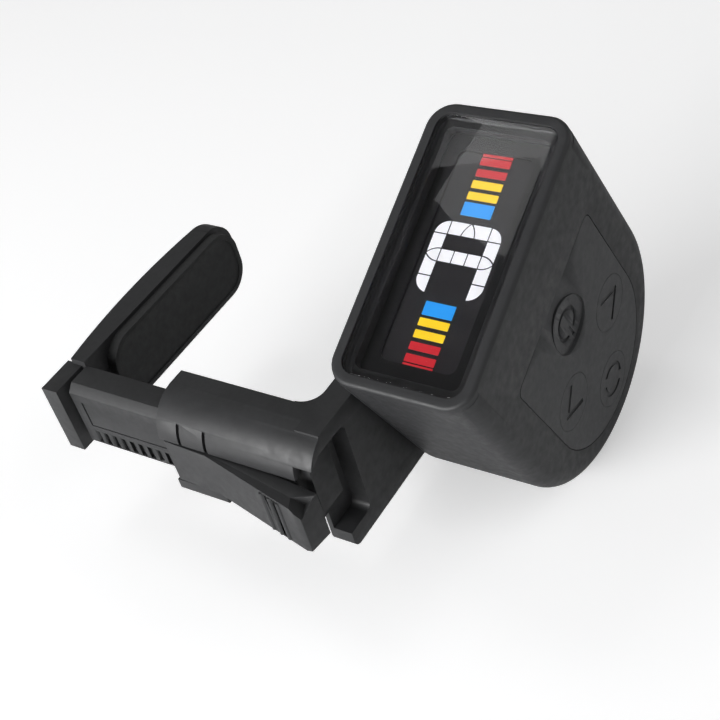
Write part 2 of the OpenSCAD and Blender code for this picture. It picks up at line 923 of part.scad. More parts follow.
module jaw_bar() {
    notch_count = floor((bar_end_x - 2 - arm_x1) / notch_pitch);
    color([0.19, 0.19, 0.195])
    difference() {
        union() {
            // bar with a bevelled upper edge
            along_x(arm_x1 - eps, bar_end_x)
                polygon([[bar_outer_y, -bar_height / 2], [bar_inner_y, -bar_height / 2],
                    [bar_inner_y, bar_height / 2], [bar_outer_y + bar_bevel, bar_height / 2],
                    [bar_outer_y, bar_height / 2 - bar_bevel]]);
            // arm, bowed on its outer side
            intersection() {
                along_x(arm_x0 - 0.1, arm_x1)
                    arm_outline(0);
                translate([arm_x0 + arm_bow, -1.5, -arm_height])
                    cylinder(h = 2 * arm_height, r = arm_bow, $fn = 180);
            }
            // end block at the corner
            translate([arm_x0, bar_outer_y - 1, -bar_height / 2 - 0.9])
                cube([arm_thickness - 0.7, bar_thickness + 1.1, bar_height + 0.8]);
        }
        // row of ratchet notches
        for (k = [1 : notch_count])
            translate([arm_x1 + k * notch_pitch, bar_outer_y - 1, -bar_height / 2 + 0.2])
                cube([notch_pitch * 0.55, 1 + notch_depth, 1.7]);
        // shallow recess along the bar's outer face
        translate([arm_x1 + 1.2, bar_outer_y - 1, -bar_height / 2 + 2.6])
            cube([bar_end_x - arm_x1 - 3.4, 1.15, bar_height - 4.6]);
        // seat of the rubber pad
        along_x(arm_x1 - 0.3, arm_x1 + 1)
            translate([0.4, 0])
                round_rect(pad_length - 0.4, pad_height - 0.6, 3);
    }
}

module far_jaw_pad() {
    color([0.13, 0.135, 0.14])
    difference() {
        union() {
            along_x(arm_x1 - 0.3, arm_x1)
                translate([0.4, 0])
                    round_rect(pad_length - 0.4, pad_height - 0.6, 3);
            along_x(arm_x1, -jaw_opening)
                round_rect(pad_length, pad_height, 3.2);
        }
        along_x(-jaw_opening - 0.15, -jaw_opening + 1)
            round_rect(pad_length - 1.3, pad_height - 1.2, 2.6);
    }
}

head_housing();
side_cover();
cover_screws();
display_window();
display_mask();
display_panel();
meter_red();
meter_yellow();
meter_blue();
note_letter();
display_frame();
light_guide();
backlight_leds();
display_connectors();
main_board();
microcontroller();
board_parts();
board_link();
key_board();
key_domes();
key_field();
power_key();
up_key();
down_key();
mode_key();
piezo_sensor();
contact_negative();
contact_positive();
battery_drawer();
coin_cell();
clamp_body();
near_jaw_pad();
swivel_hub();
swivel_washer();
swivel_screw();
release_lever();
jaw_bar();
far_jaw_pad();
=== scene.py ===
# %% [markdown]
# # A clip-on tuner, dressed around its CAD frame
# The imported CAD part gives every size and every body. This lesson makes the surfaces that
# people see and touch: the moulded head, the dark window, the rubber keys and the clip.
# Everything is in metres, in the CAD part's own frame.

# %% Load the frame
import json
import math

import bmesh
import bpy
from mathutils import Matrix, Quaternion, Vector


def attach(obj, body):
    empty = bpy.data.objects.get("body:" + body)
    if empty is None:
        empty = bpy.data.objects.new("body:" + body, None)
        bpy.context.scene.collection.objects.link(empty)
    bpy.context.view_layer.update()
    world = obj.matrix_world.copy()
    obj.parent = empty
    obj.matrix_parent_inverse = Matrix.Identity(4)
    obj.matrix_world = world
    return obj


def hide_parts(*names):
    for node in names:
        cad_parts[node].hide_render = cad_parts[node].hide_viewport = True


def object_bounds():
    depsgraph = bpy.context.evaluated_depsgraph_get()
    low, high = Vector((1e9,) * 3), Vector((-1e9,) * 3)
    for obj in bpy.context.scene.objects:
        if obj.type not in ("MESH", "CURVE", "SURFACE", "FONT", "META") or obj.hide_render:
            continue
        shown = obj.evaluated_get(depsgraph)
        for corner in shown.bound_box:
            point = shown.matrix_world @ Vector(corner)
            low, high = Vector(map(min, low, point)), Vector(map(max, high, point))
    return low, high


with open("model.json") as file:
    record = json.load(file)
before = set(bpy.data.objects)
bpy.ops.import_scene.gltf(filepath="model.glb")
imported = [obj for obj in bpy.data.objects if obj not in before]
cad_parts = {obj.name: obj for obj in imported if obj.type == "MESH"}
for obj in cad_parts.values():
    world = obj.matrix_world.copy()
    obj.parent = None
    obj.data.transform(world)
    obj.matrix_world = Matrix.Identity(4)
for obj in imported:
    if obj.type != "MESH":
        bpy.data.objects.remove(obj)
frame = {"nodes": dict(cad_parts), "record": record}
cad_low, cad_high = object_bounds()
scene = bpy.context.scene
MM = 0.001
print("CAD box in mm:", [round(v / MM, 2) for v in cad_high - cad_low])

# %% [markdown]
# The head turns on a swivel, so its faces are not square to the world. A matrix that starts
# on the swivel axis and leans with the display lets each head piece be made upright and then
# put in place. The lean is read from the slide of the battery drawer, which runs straight
# down the head's own height.

# %% The head's own frame
def joint_named(name):
    """The record's entry for one joint."""
    return next(j for j in frame["record"]["behaviour"]["joints"] if j["name"] == name)


pivot = Vector(joint_named("head_swivel")["pos_m"])
drawer_way = Vector(joint_named("drawer_slide")["axis"]).normalized()
lean = math.atan2(drawer_way.y, -drawer_way.z)
HEAD = Matrix.Translation(pivot) @ Matrix.Rotation(lean, 4, "X")
HEAD_BACK = HEAD.inverted()


def box_in(node, back=HEAD_BACK):
    """Lowest and highest corner of a CAD node, measured in another frame."""
    points = [back @ v.co for v in frame["nodes"][node].data.vertices]
    low = Vector([min(p[k] for p in points) for k in range(3)])
    high = Vector([max(p[k] for p in points) for k in range(3)])
    return low, high


window_low, window_high = box_in("display_window")
panel_low, panel_high = box_in("display_panel")
mask_low, mask_high = box_in("display_mask")
shell_low, shell_high = box_in("head_housing")
cover_low, cover_high = box_in("side_cover")
drawer_low, drawer_high = box_in("battery_drawer")
field_low, field_high = box_in("key_field")
print("head lean", round(math.degrees(lean), 2), "deg; window", (window_high - window_low) / MM)

# %% [markdown]
# The camera looks down on the near corner of the clip, from the side of the keys. Its place,
# aim, roll and lens came from a perspective fit, so they are simply kept.

# %% Camera
camera_data = bpy.data.cameras.new("camera")
camera = bpy.data.objects.new("camera", camera_data)
scene.collection.objects.link(camera)
scene.camera = camera
camera_at = Vector((75.54, -84.13, 97.52)) * MM
camera_aim = Vector((-1.24, -0.91, 0.04)) * MM
camera_roll = math.radians(-16.88)
camera.location = camera_at
camera.rotation_mode = "QUATERNION"
level_view = (camera_aim - camera_at).to_track_quat("-Z", "Y")
camera.rotation_quaternion = level_view @ Quaternion((0, 0, 1), camera_roll)
camera_data.lens = 70.83
camera_data.shift_x = -0.0107
camera_data.shift_y = 0.0079
camera_data.clip_start = 0.01

# %% [markdown]
# The tuner lies in a white studio. A dome of plain light fills every side, a soft lamp on the
# lever's side makes the long faces of the bar glow, and one large card hangs overhead. The
# card is there for the window: glass this dark shows nothing but what it mirrors. Its near
# edge is found by mirroring the camera in the glass, so the reflection ends on a slant.

# %% Studio
def white_world(low_level, high_level):
    """White to the camera. For all else, bright round the sides and dimmer overhead."""
    world = bpy.data.worlds.new("studio")
    scene.world = world
    world.use_nodes = True
    nodes, links = world.node_tree.nodes, world.node_tree.links
    background = nodes["Background"]
    background.inputs["Color"].default_value = (1, 1, 1, 1)
    coords = nodes.new("ShaderNodeTexCoord")
    split = nodes.new("ShaderNodeSeparateXYZ")
    dome = nodes.new("ShaderNodeMapRange")
    dome.inputs["From Min"].default_value = 0.1
    dome.inputs["From Max"].default_value = 0.85
    dome.inputs["To Min"].default_value = low_level
    dome.inputs["To Max"].default_value = high_level
    paths = nodes.new("ShaderNodeLightPath")
    level = nodes.new("ShaderNodeMix")
    level.inputs["B"].default_value = 1.0
    links.new(coords.outputs["Generated"], split.inputs["Vector"])
    links.new(split.outputs["Z"], dome.inputs["Value"])
    links.new(dome.outputs["Result"], level.inputs["A"])
    links.new(paths.outputs["Is Camera Ray"], level.inputs["Factor"])
    links.new(level.outputs["Result"], background.inputs["Strength"])
    return world


def white_floor(height, half, glow):
    """A pale floor that stays white in the open and still takes soft shadows."""
    mesh = bpy.data.meshes.new("floor")
    mesh.from_pydata([(-half, -half, height), (half, -half, height),
                      (half, half, height), (-half, half, height)], [], [(0, 1, 2, 3)])
    floor = bpy.data.objects.new("floor", mesh)
    scene.collection.objects.link(floor)
    material = bpy.data.materials.new("white floor")
    material.use_nodes = True
    nodes, links = material.node_tree.nodes, material.node_tree.links
    shader = nodes["Principled BSDF"]
    shader.inputs["Base Color"].default_value = (0.9, 0.9, 0.905, 1)
    shader.inputs["Roughness"].default_value = 0.9
    shader.inputs["Specular IOR Level"].default_value = 0.0
    shader.inputs["Emission Color"].default_value = (1, 1, 1, 1)
    paths = nodes.new("ShaderNodeLightPath")
    lift = nodes.new("ShaderNodeMath")
    lift.operation = "MULTIPLY"
    lift.inputs[1].default_value = glow
    links.new(paths.outputs["Is Camera Ray"], lift.inputs[0])
    links.new(lift.outputs[0], shader.inputs["Emission Strength"])
    mesh.materials.append(material)
    return floor


def lamp(name, at, aim, size, power):
    """A square soft lamp that faces a point."""
    data = bpy.data.lights.new(name, "AREA")
    data.shape = "SQUARE"
    data.size = size
    data.energy = power
    fixture = bpy.data.objects.new(name, data)
    fixture.location = at
    fixture.rotation_euler = (Vector(aim) - Vector(at)).to_track_quat("-Z", "Y").to_euler()
    scene.collection.objects.link(fixture)
    return fixture


def mirrored_card(name, edge_left, edge_right, far, depth, power):
    """A soft card whose near edge is seen in the window along a line in the head's frame."""
    glass_z = window_high.z
    eye = HEAD_BACK @ camera_at
    eye.z = 2 * glass_z - eye.z
    corners = []
    for place in (edge_left, edge_right):
        on_glass = Vector((place[0] * MM, place[1] * MM, glass_z))
        ray = (on_glass - eye).normalized()
        corners.append(HEAD @ (on_glass + ray * far))
    along = corners[1] - corners[0]
    middle = (corners[0] + corners[1]) / 2
    facing = (HEAD @ Vector((0, 0, glass_z)) - middle).normalized()
    x_way = along.normalized()
    y_way = facing.cross(x_way).normalized()
    up_the_window = HEAD.to_3x3() @ Vector((0, 1, 0))
    if up_the_window.dot(y_way) < 0:
        y_way = -y_way
    data = bpy.data.lights.new(name, "AREA")
    data.shape = "RECTANGLE"
    data.size = along.length * 2.5
    data.size_y = depth
    data.energy = power
    card = bpy.data.objects.new(name, data)
    z_way = -facing
    x_way = y_way.cross(z_way)
    turn = Matrix((x_way, y_way, z_way)).transposed()
    card.matrix_world = Matrix.Translation(middle + y_way * depth / 2) @ turn.to_4x4()
    scene.collection.objects.link(card)
    return card


scene.view_settings.view_transform = "Standard"
white_world(0.34, 0.19)
white_floor(cad_low.z - 0.00005, 3.0, 0.37)
lamp("side lamp", (-0.12, -0.42, 0.1), (0, 0, 0), 0.3, 3.2)
lamp("head lamp", (0.35, 0.25, 0.3), (0.012, 0.009, 0.01), 0.3, 0.35)
mirrored_card("window card", (-6.7, 7.3), (6.1, 4.0), 0.35, 0.1, 0.085)

# %% [markdown]
# Nearly the whole tuner is moulded in dark plastic. The tool that made it was spark-eroded, so
# the skin has a fine grain, and handling polishes it unevenly. One recipe serves all of
# the shells: a dark colour that varies a little, a roughness that varies more, and two sizes
# of bump. The numbers that are the same all over sit on the shader's own sockets.

# %% Plastic, rubber and metal recipes
def noise(nodes, links, coords, scale, detail=3.0, rough=0.55):
    """A noise pattern on the object's own coordinates."""
    pattern = nodes.new("ShaderNodeTexNoise")
    pattern.inputs["Scale"].default_value = scale
    pattern.inputs["Detail"].default_value = detail
    pattern.inputs["Roughness"].default_value = rough
    links.new(coords.outputs["Object"], pattern.inputs["Vector"])
    return pattern


def spread(nodes, links, source, low, high, start=0.3, stop=0.7):
    """Turns a pattern into a number between low and high."""
    ranged = nodes.new("ShaderNodeMapRange")
    ranged.inputs["From Min"].default_value = start
    ranged.inputs["From Max"].default_value = stop
    ranged.inputs["To Min"].default_value = low
    ranged.inputs["To Max"].default_value = high
    links.new(source, ranged.inputs["Value"])
    return ranged.outputs["Result"]


def between(nodes, links, source, dark, light):
    """Mixes two colours by a pattern."""
    mixed = nodes.new("ShaderNodeMix")
    mixed.data_type = "RGBA"
    mixed.inputs["A"].default_value = (*dark, 1)
    mixed.inputs["B"].default_value = (*light, 1)
    links.new(source, mixed.inputs["Factor"])
    return mixed.outputs["Result"]


def grained(name, dark, light, rough=(0.45, 0.6), grain=5200, depth=0.006, metal=0.0,
            specular=0.5, cloud=260, sheen=0.0):
    """A surface with fine grain, cloudy colour and uneven polish. Depth is in millimetres."""
    material = bpy.data.materials.new(name)
    material.use_nodes = True
    nodes, links = material.node_tree.nodes, material.node_tree.links
    shader = nodes["Principled BSDF"]
    coords = nodes.new("ShaderNodeTexCoord")
    cloudy = noise(nodes, links, coords, cloud)
    fine = noise(nodes, links, coords, grain, 2.0)
    coarse = noise(nodes, links, coords, grain * 0.22, 3.0)
    shade = between(nodes, links, spread(nodes, links, cloudy.outputs["Fac"], 0, 1), dark, light)
    links.new(shade, shader.inputs["Base Color"])
    polish = spread(nodes, links, coarse.outputs["Fac"], rough[0], rough[1])
    links.new(polish, shader.inputs["Roughness"])
    skin = nodes.new("ShaderNodeBump")
    skin.inputs["Strength"].default_value = 0.5
    skin.inputs["Distance"].default_value = depth * MM
    links.new(fine.outputs["Fac"], skin.inputs["Height"])
    waves = nodes.new("ShaderNodeBump")
    waves.inputs["Strength"].default_value = 0.25
    waves.inputs["Distance"].default_value = depth * 2.5 * MM
    links.new(coarse.outputs["Fac"], waves.inputs["Height"])
    links.new(skin.outputs["Normal"], waves.inputs["Normal"])
    links.new(waves.outputs["Normal"], shader.inputs["Normal"])
    shader.inputs["Metallic"].default_value = metal
    shader.inputs["Specular IOR Level"].default_value = specular
    shader.inputs["Sheen Weight"].default_value = sheen
    return material


def lit(name, colour, strength):
    """A lit segment, slightly uneven as the light behind it is."""
    material = grained(name, [c * 0.5 for c in colour], [c * 0.55 for c in colour], (0.3, 0.4))
    nodes, links = material.node_tree.nodes, material.node_tree.links
    shader = nodes["Principled BSDF"]
    coords = nodes["Texture Coordinate"]
    even = noise(nodes, links, coords, 420)
    glow = between(nodes, links, spread(nodes, links, even.outputs["Fac"], 0, 1),
                   [c * 0.9 for c in colour], colour)
    links.new(glow, shader.inputs["Emission Color"])
    shader.inputs["Emission Strength"].default_value = strength
    return material


def clear(name, tint, rough):
    """Clear or smoked glass or plastic with a faint wave in it."""
    material = grained(name, tint, [c * 0.97 for c in tint], rough, 900, 0.0004)
    shader = material.node_tree.nodes["Principled BSDF"]
    shader.inputs["Transmission Weight"].default_value = 1.0
    shader.inputs["IOR"].default_value = 1.3
    return material


FINISH = {
    "head_shell": grained("head plastic", (0.017, 0.0175, 0.019), (0.021, 0.0215, 0.023)),
    "cover_shell": grained("cover plastic", (0.016, 0.0165, 0.018), (0.02, 0.0205, 0.022)),
    "clamp_shell": grained("clip plastic", (0.018, 0.0185, 0.0195), (0.023, 0.0235, 0.025)),
    "bar_shell": grained("bar plastic", (0.018, 0.0185, 0.0195), (0.023, 0.0235, 0.025)),
    "lever_shell": grained("lever plastic", (0.019, 0.0195, 0.0205), (0.024, 0.0245, 0.026)),
    "drawer_shell": grained("drawer plastic", (0.016, 0.0165, 0.018), (0.02, 0.0205, 0.022)),
    "key_rubber": grained("key rubber", (0.03, 0.031, 0.033), (0.036, 0.037, 0.039),
                          (0.6, 0.75), 6500, 0.005, sheen=0.12),
    "near_pad_rubber": grained("near pad rubber", (0.009, 0.0095, 0.01), (0.013, 0.0135, 0.014),
                               (0.65, 0.8), 6500, 0.006, sheen=0.1),
    "far_pad_rubber": grained("far pad rubber", (0.009, 0.0095, 0.01), (0.013, 0.0135, 0.014),
                              (0.65, 0.8), 6500, 0.006, sheen=0.1),
    "hub_plastic": grained("hub acetal", (0.05, 0.05, 0.052), (0.06, 0.06, 0.062), (0.3, 0.4)),
    "screw_steel": grained("blackened screw", (0.08, 0.08, 0.085), (0.11, 0.11, 0.115),
                           (0.28, 0.42), 4000, 0.003, metal=1.0),
    "washer_steel": grained("washer steel", (0.5, 0.5, 0.52), (0.6, 0.6, 0.62), (0.25, 0.4),
                            3000, 0.002, metal=1.0),
    "swivel_steel": grained("swivel steel", (0.45, 0.45, 0.47), (0.55, 0.55, 0.57), (0.25, 0.4),
                            3000, 0.002, metal=1.0),
    "cell_steel": grained("cell steel", (0.6, 0.6, 0.61), (0.7, 0.7, 0.71), (0.2, 0.35),
                          2600, 0.002, metal=1.0),
    "dome_steel": grained("dome steel", (0.6, 0.6, 0.61), (0.7, 0.7, 0.71), (0.2, 0.3),
                          2600, 0.002, metal=1.0),
    "contact_plated": grained("contact plating", (0.6, 0.58, 0.5), (0.7, 0.68, 0.6), (0.2, 0.3),
                              2600, 0.002, metal=1.0),
    "piezo_brass": grained("piezo brass", (0.55, 0.42, 0.16), (0.65, 0.5, 0.2), (0.25, 0.4),
                           2600, 0.002, metal=1.0),
    "mask_black": grained("mask ink", (0.003, 0.003, 0.0032), (0.0045, 0.0045, 0.005),
                          (0.3, 0.4), specular=0.2),
    "panel_glass": grained("display panel", (0.026, 0.025, 0.027), (0.03, 0.029, 0.031),
                           (0.35, 0.45), specular=0.2),
    "frame_white": grained("frame plastic", (0.6, 0.6, 0.58), (0.68, 0.68, 0.66)),
    "led_body": grained("led resin", (0.7, 0.62, 0.3), (0.8, 0.7, 0.36), (0.2, 0.3)),
    "elastomer": grained("zebra rubber", (0.35, 0.14, 0.18), (0.45, 0.2, 0.25), (0.6, 0.7)),
    "board_green": grained("board mask", (0.01, 0.07, 0.03), (0.015, 0.09, 0.04), (0.25, 0.35)),
    "key_board_green": grained("key board mask", (0.01, 0.065, 0.03), (0.015, 0.085, 0.04),
                               (0.25, 0.35)),
    "chip_black": grained("chip resin", (0.012, 0.012, 0.013), (0.018, 0.018, 0.019)),
    "part_tan": grained("part ceramic", (0.24, 0.17, 0.09), (0.3, 0.22, 0.12), (0.4, 0.5)),
    "link_black": grained("link plastic", (0.015, 0.015, 0.016), (0.02, 0.02, 0.021)),
    "segment_red": lit("red segment", (0.6, 0.012, 0.022), 0.75),
    "segment_yellow": lit("yellow segment", (0.98, 0.66, 0.012), 0.85),
    "segment_blue": lit("blue segment", (0.012, 0.31, 0.84), 0.85),
    "segment_white": lit("white segment", (0.93, 0.93, 0.95), 0.85),
    "window_glass": clear("window glass", (0.93, 0.93, 0.95), (0.0, 0.02)),
    "guide_clear": clear("light guide", (0.85, 0.88, 0.9), (0.25, 0.35)),
}
print(len(FINISH), "finishes")

# %% [markdown]
# Every CAD node keeps its own shape unless a later step replaces it, so each one first gets
# the finish of its slot. Pieces inside the head are seen when the drawer is out or the window
# is looked into, and they are dressed with the same care.

# %% Finishes on the CAD nodes
slot_of = {row["node"]: row["material_slot"] for row in frame["record"]["subparts"]}
body_of = {node: body for body, nodes in frame["record"]["behaviour"]["bodies"].items()
           for node in nodes}
for node, item in frame["nodes"].items():
    item.data.materials.clear()
    item.data.materials.append(FINISH[slot_of[node]])


# %% [markdown]
# A moulded part has no knife edges. The quickest honest way to show that is to copy a CAD
# node's mesh, merge its loose triangles, dissolve the flat ones into whole faces, and let a
# Bevel modifier roll each edge over. The copy is then baked to a plain mesh and stands for
# the node it came from.

# %% Softened copies of CAD nodes
def new_piece(name, mesh):
    """Links a mesh as an object at the origin."""
    piece = bpy.data.objects.new(name, mesh)
    scene.collection.objects.link(piece)
    return piece


def finished(piece, name):
    """Bakes a piece's modifiers into a plain mesh, and returns the new piece."""
    depsgraph = bpy.context.evaluated_depsgraph_get()
    mesh = bpy.data.meshes.new_from_object(piece.evaluated_get(depsgraph))
    old = piece.data
    bpy.data.objects.remove(piece)
    bpy.data.meshes.remove(old)
    mesh.name = name
    return new_piece(name, mesh)


def shade(piece, angle=35):
    """Smooth shading that stays crisp on edges sharper than the angle."""
    piece.data.shade_smooth()
    piece.data.set_sharp_from_angle(angle=math.radians(angle))
    return piece


def whole_copy(node, name):
    """A copy of a CAD node with its triangles joined into whole faces."""
    mesh = frame["nodes"][node].data.copy()
    mesh.name = name
    shaped = bmesh.new()
    shaped.from_mesh(mesh)
    bmesh.ops.remove_doubles(shaped, verts=shaped.verts, dist=0.001 * MM)
    bmesh.ops.dissolve_limit(shaped, angle_limit=math.radians(0.6), verts=shaped.verts,
                             edges=shaped.edges)
    shaped.to_mesh(mesh)
    shaped.free()
    return new_piece(name, mesh)


def weigh_long_edges(mesh, angle, shortest):
    """Marks for a bevel only the sharp edges longer than a length, so small teeth stay crisp."""
    shaped = bmesh.new()
    shaped.from_mesh(mesh)
    weight = shaped.edges.layers.float.new("bevel_weight_edge")
    for edge in shaped.edges:
        sharp = len(edge.link_faces) == 2 and edge.calc_face_angle() > math.radians(angle)
        edge[weight] = 1.0 if sharp and edge.calc_length() > shortest * MM else 0.0
    shaped.to_mesh(mesh)
    shaped.free()


def roll_edges(piece, name, width, steps=3, angle=30, shortest=0.0):
    """Rolls over every edge sharper than the angle. Width and length are in millimetres."""
    bevel = piece.modifiers.new("rolled edges", "BEVEL")
    bevel.width = width * MM
    bevel.segments = steps
    bevel.limit_method = "ANGLE"
    bevel.angle_limit = math.radians(angle)
    bevel.use_clamp_overlap = True
    if shortest:
        weigh_long_edges(piece.data, angle, shortest)
        bevel.limit_method = "WEIGHT"
    bevel.miter_outer = "MITER_ARC"
    return shade(finished(piece, name))


def settle(piece, body, *nodes, slot=None):
    """Hands a finished piece to its body, in the place of CAD nodes."""
    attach(piece, body)
    if nodes:
        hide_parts(*nodes)
    print(piece.name, "on", body, "-", len(piece.data.polygons), "faces")
    return piece


def soften(node, name, width, steps=3, angle=30, shortest=0.0):
    """A CAD node's own shape with rolled edges, standing for that node."""
    piece = roll_edges(whole_copy(node, name), name, width, steps, angle, shortest)
    return settle(piece, body_of[node], node)


# %% [markdown]
# Booleans join and cut the larger shells. Each cutter is a closed mesh that overshoots the
# face it cuts, so that no two faces lie in one plane.

# %% Joining and cutting
def carve(piece, cutter, how="DIFFERENCE"):
    """Cuts or joins another closed piece, and removes that piece."""
    step = piece.modifiers.new("step", "BOOLEAN")
    step.operation = how
    step.solver = "EXACT"
    step.object = cutter
    name = piece.name
    done = finished(piece, name)
    old = cutter.data
    bpy.data.objects.remove(cutter)
    bpy.data.meshes.remove(old)
    return done


def loft(name, rings, finish, place=Matrix.Identity(4)):
    """A closed skin over rings of equal length, capped at both ends, faces outward."""
    shaped = bmesh.new()
    rows = [[shaped.verts.new(place @ Vector(p)) for p in ring] for ring in rings]
    count = len(rows[0])
    for lower, upper in zip(rows, rows[1:]):
        for k in range(count):
            j = (k + 1) % count
            shaped.faces.new((lower[k], lower[j], upper[j], upper[k]))
    shaped.faces.new(list(reversed(rows[0])))
    shaped.faces.new(rows[-1])
    bmesh.ops.recalc_face_normals(shaped, faces=shaped.faces)
    mesh = bpy.data.meshes.new(name)
    shaped.to_mesh(mesh)
    shaped.free()
    mesh.materials.append(FINISH[finish])
    return new_piece(name, mesh)


# %% [markdown]
# The head is the hero: a D-shaped box with a flat display rim, a round back and two flat
# sides. Its long edges are generous rounds. A loft across the width does this well: each
# ring is the same D, drawn in by the amount that a quarter circle gives at that point.

# %% Head outline and rounds
half_width = shell_high.x
rim_top = shell_high.z
rim_low = rim_top - 1.3 * MM
rim_half_y = shell_high.y
body_half = -shell_low.z
edge_round = 2.1 * MM
joint_x = cover_high.x
well_z = rim_top - 2.3 * MM


def d_ring(x, half, top, arc_steps=72, side_steps=4):
    """One D-shaped ring at a place across the head."""
    ring = [(x, -half, top - (top * k / side_steps)) for k in range(side_steps)]
    for k in range(arc_steps + 1):
        turn = math.pi + math.pi * k / arc_steps
        ring.append((x, half * math.cos(turn), half * math.sin(turn)))
    ring += [(x, half, top * (k + 1) / side_steps) for k in range(side_steps)]
    return ring


def rounded_sections(x_flat, x_end, half, radius, top, steps=10):
    """Rings from a straight part to an end whose edge is a quarter round."""
    way = 1 if x_end > x_flat else -1
    start = x_end - way * radius
    rings = []
    for k in range(steps + 1):
        turn = math.pi / 2 * k / steps
        inset = radius * (1 - math.cos(turn))
        rings.append(d_ring(start + way * radius * math.sin(turn), half - inset, top))
    return rings


def round_rect(width, length, radius, steps=8):
    """Points round a rectangle with round corners, centred."""
    points = []
    for corner in range(4):
        cx = (width / 2 - radius) * (1 if corner in (0, 3) else -1)
        cy = (length / 2 - radius) * (1 if corner in (0, 1) else -1)
        for k in range(steps + 1):
            turn = math.pi / 2 * (corner + k / steps)
            points.append((cx + radius * math.cos(turn), cy + radius * math.sin(turn)))
    return points


def plate(name, width, length, radius, z_low, z_high, finish, roll=0.0, steps=8):
    """A round-cornered plate in the head's frame, with its top edge rolled over."""
    rings = [[(x, y, z_low) for x, y in round_rect(width, length, radius, steps)]]
    if roll:
        for k in range(5):
            turn = math.pi / 2 * k / 4
            inset = roll * (1 - math.cos(turn))
            z = z_high - roll + roll * math.sin(turn)
            rings.append([(x, y, z) for x, y in round_rect(
                width - 2 * inset, length - 2 * inset, radius - inset, steps)])
    else:
        rings.append([(x, y, z_high) for x, y in round_rect(width, length, radius, steps)])
    return loft(name, rings, finish, HEAD)


print("head half width", half_width / MM, "rim", rim_low / MM, rim_top / MM)

# %% [markdown]
# The shell is the loft and the rim plate joined, then hollowed: the well for the display, the
# seat of the glass, the opening of the keys and the mouth of the drawer. These
# are the same steps as a toolmaker's cores.

# %% Head shell
seam = 0.03 * MM
rim_overlap = 0.3 * MM
shell = loft("head_shell", [d_ring(joint_x + seam, body_half, rim_low + rim_overlap)]
             + rounded_sections(joint_x, half_width, body_half, edge_round,
                                rim_low + rim_overlap), "head_shell", HEAD)
rim = plate("rim", 2 * half_width, 2 * rim_half_y, 2.7 * MM, rim_low, rim_top, "head_shell",
            0.4 * MM)
shell = carve(shell, rim, "UNION")
wall = 1.2 * MM
core = loft("core", [d_ring(x, body_half - wall, well_z)
                     for x in (joint_x - 1 * MM, half_width - 1.4 * MM)], "head_shell", HEAD)
shell = carve(shell, core)
seat_w = window_high.x - window_low.x + 0.1 * MM
seat_l = window_high.y - window_low.y + 0.1 * MM
seat = plate("seat", seat_w, seat_l, 1.6 * MM, window_low.z, rim_top + 1 * MM, "head_shell")
shell = carve(shell, seat)
well = plate("well", seat_w - 1.9 * MM, seat_l - 2.1 * MM, 0.8 * MM, well_z - 1 * MM,
             rim_top, "mask_black")
shell = carve(shell, well)


flange = 0.75 * MM
field_back = -1.8 * MM
field_front = 13 * MM


def field_ring(x, grow):
    """Outline of the key field: a round end at the back and small corners in front."""
    half = field_high.y - flange + grow
    back = field_back
    front = field_front + grow
    corner = 1 * MM
    points = []
    for k in range(49):
        turn = math.pi + math.pi * k / 48
        points.append((x, half * math.cos(turn), back + half * math.sin(turn)))
    for side in (1, -1):
        for k in range(9):
            turn = math.pi / 2 * k / 8
            turn = turn if side == 1 else math.pi / 2 + turn
            points.append((x, side * (half - corner) + corner * math.cos(turn),
                           front - corner + corner * math.sin(turn)))
    return points


opening = loft("opening", [field_ring(half_width - 2 * MM, 0.02 * MM),
                           field_ring(half_width + 1 * MM, 0.02 * MM)], "head_shell", HEAD)
shell = carve(shell, opening)
gap = 0.15 * MM
mouth = loft("mouth", [[(x, y, z) for x, y in (
    (drawer_low.x - gap, drawer_low.y - gap), (drawer_high.x + gap, drawer_low.y - gap),
    (drawer_high.x + gap, drawer_high.y + gap), (drawer_low.x - gap, drawer_high.y + gap))]
    for z in (-body_half - 2 * MM, -2 * MM)], "head_shell", HEAD)
shell = carve(shell, mouth)
shell = roll_edges(shell, "head_shell", 0.12, 2, 40)
settle(shell, "head", "head_housing")

# %% [markdown]
# The cover closes the side that faces the clip. It is the same D with the same round, thin,
# with a hole for the swivel hub and two sunk screws.

# %% Side cover
cover = loft("cover", list(reversed(rounded_sections(
    joint_x, -half_width, body_half, edge_round * 0.7, rim_low - 0.02 * MM)))
    + [d_ring(joint_x - seam, body_half, rim_low - 0.02 * MM)], "cover_shell", HEAD)


def rod(name, x_from, x_to, y, z, radius, finish, place=HEAD, steps=48):
    """A round bar along X."""
    circle = [(math.cos(2 * math.pi * k / steps), math.sin(2 * math.pi * k / steps))
              for k in range(steps)]
    return loft(name, [[(x, y + radius * c, z + radius * s) for c, s in circle]
                       for x in (x_from, x_to)], finish, place)


hub_hole_radius = 2.95 * MM
sink_radius = 1.3 * MM
sink_depth = 0.8 * MM
screw_head_radius = 1.2 * MM
cover = carve(cover, rod("hub hole", -half_width - MM, joint_x + MM, 0, 0, hub_hole_radius,
                         "cover_shell"))
_, screw_high = box_in("cover_screws")
screw_y = screw_high.y - screw_head_radius
screw_z = screw_high.z - screw_head_radius
for side in (-1, 1):
    cover = carve(cover, rod("sink", -half_width - MM, -half_width + sink_depth,
                             side * screw_y, screw_z, sink_radius, "cover_shell"))
cover = roll_edges(cover, "side_cover_shell", 0.1, 2, 40)
settle(cover, "head", "side_cover")

# %% [markdown]
# What repeats in a row is a Geometry Nodes job. One small tree takes a single modelled item
# and sets copies of it along a step. Here it lays out the meter's bars, a few equal ones
# in each colour.

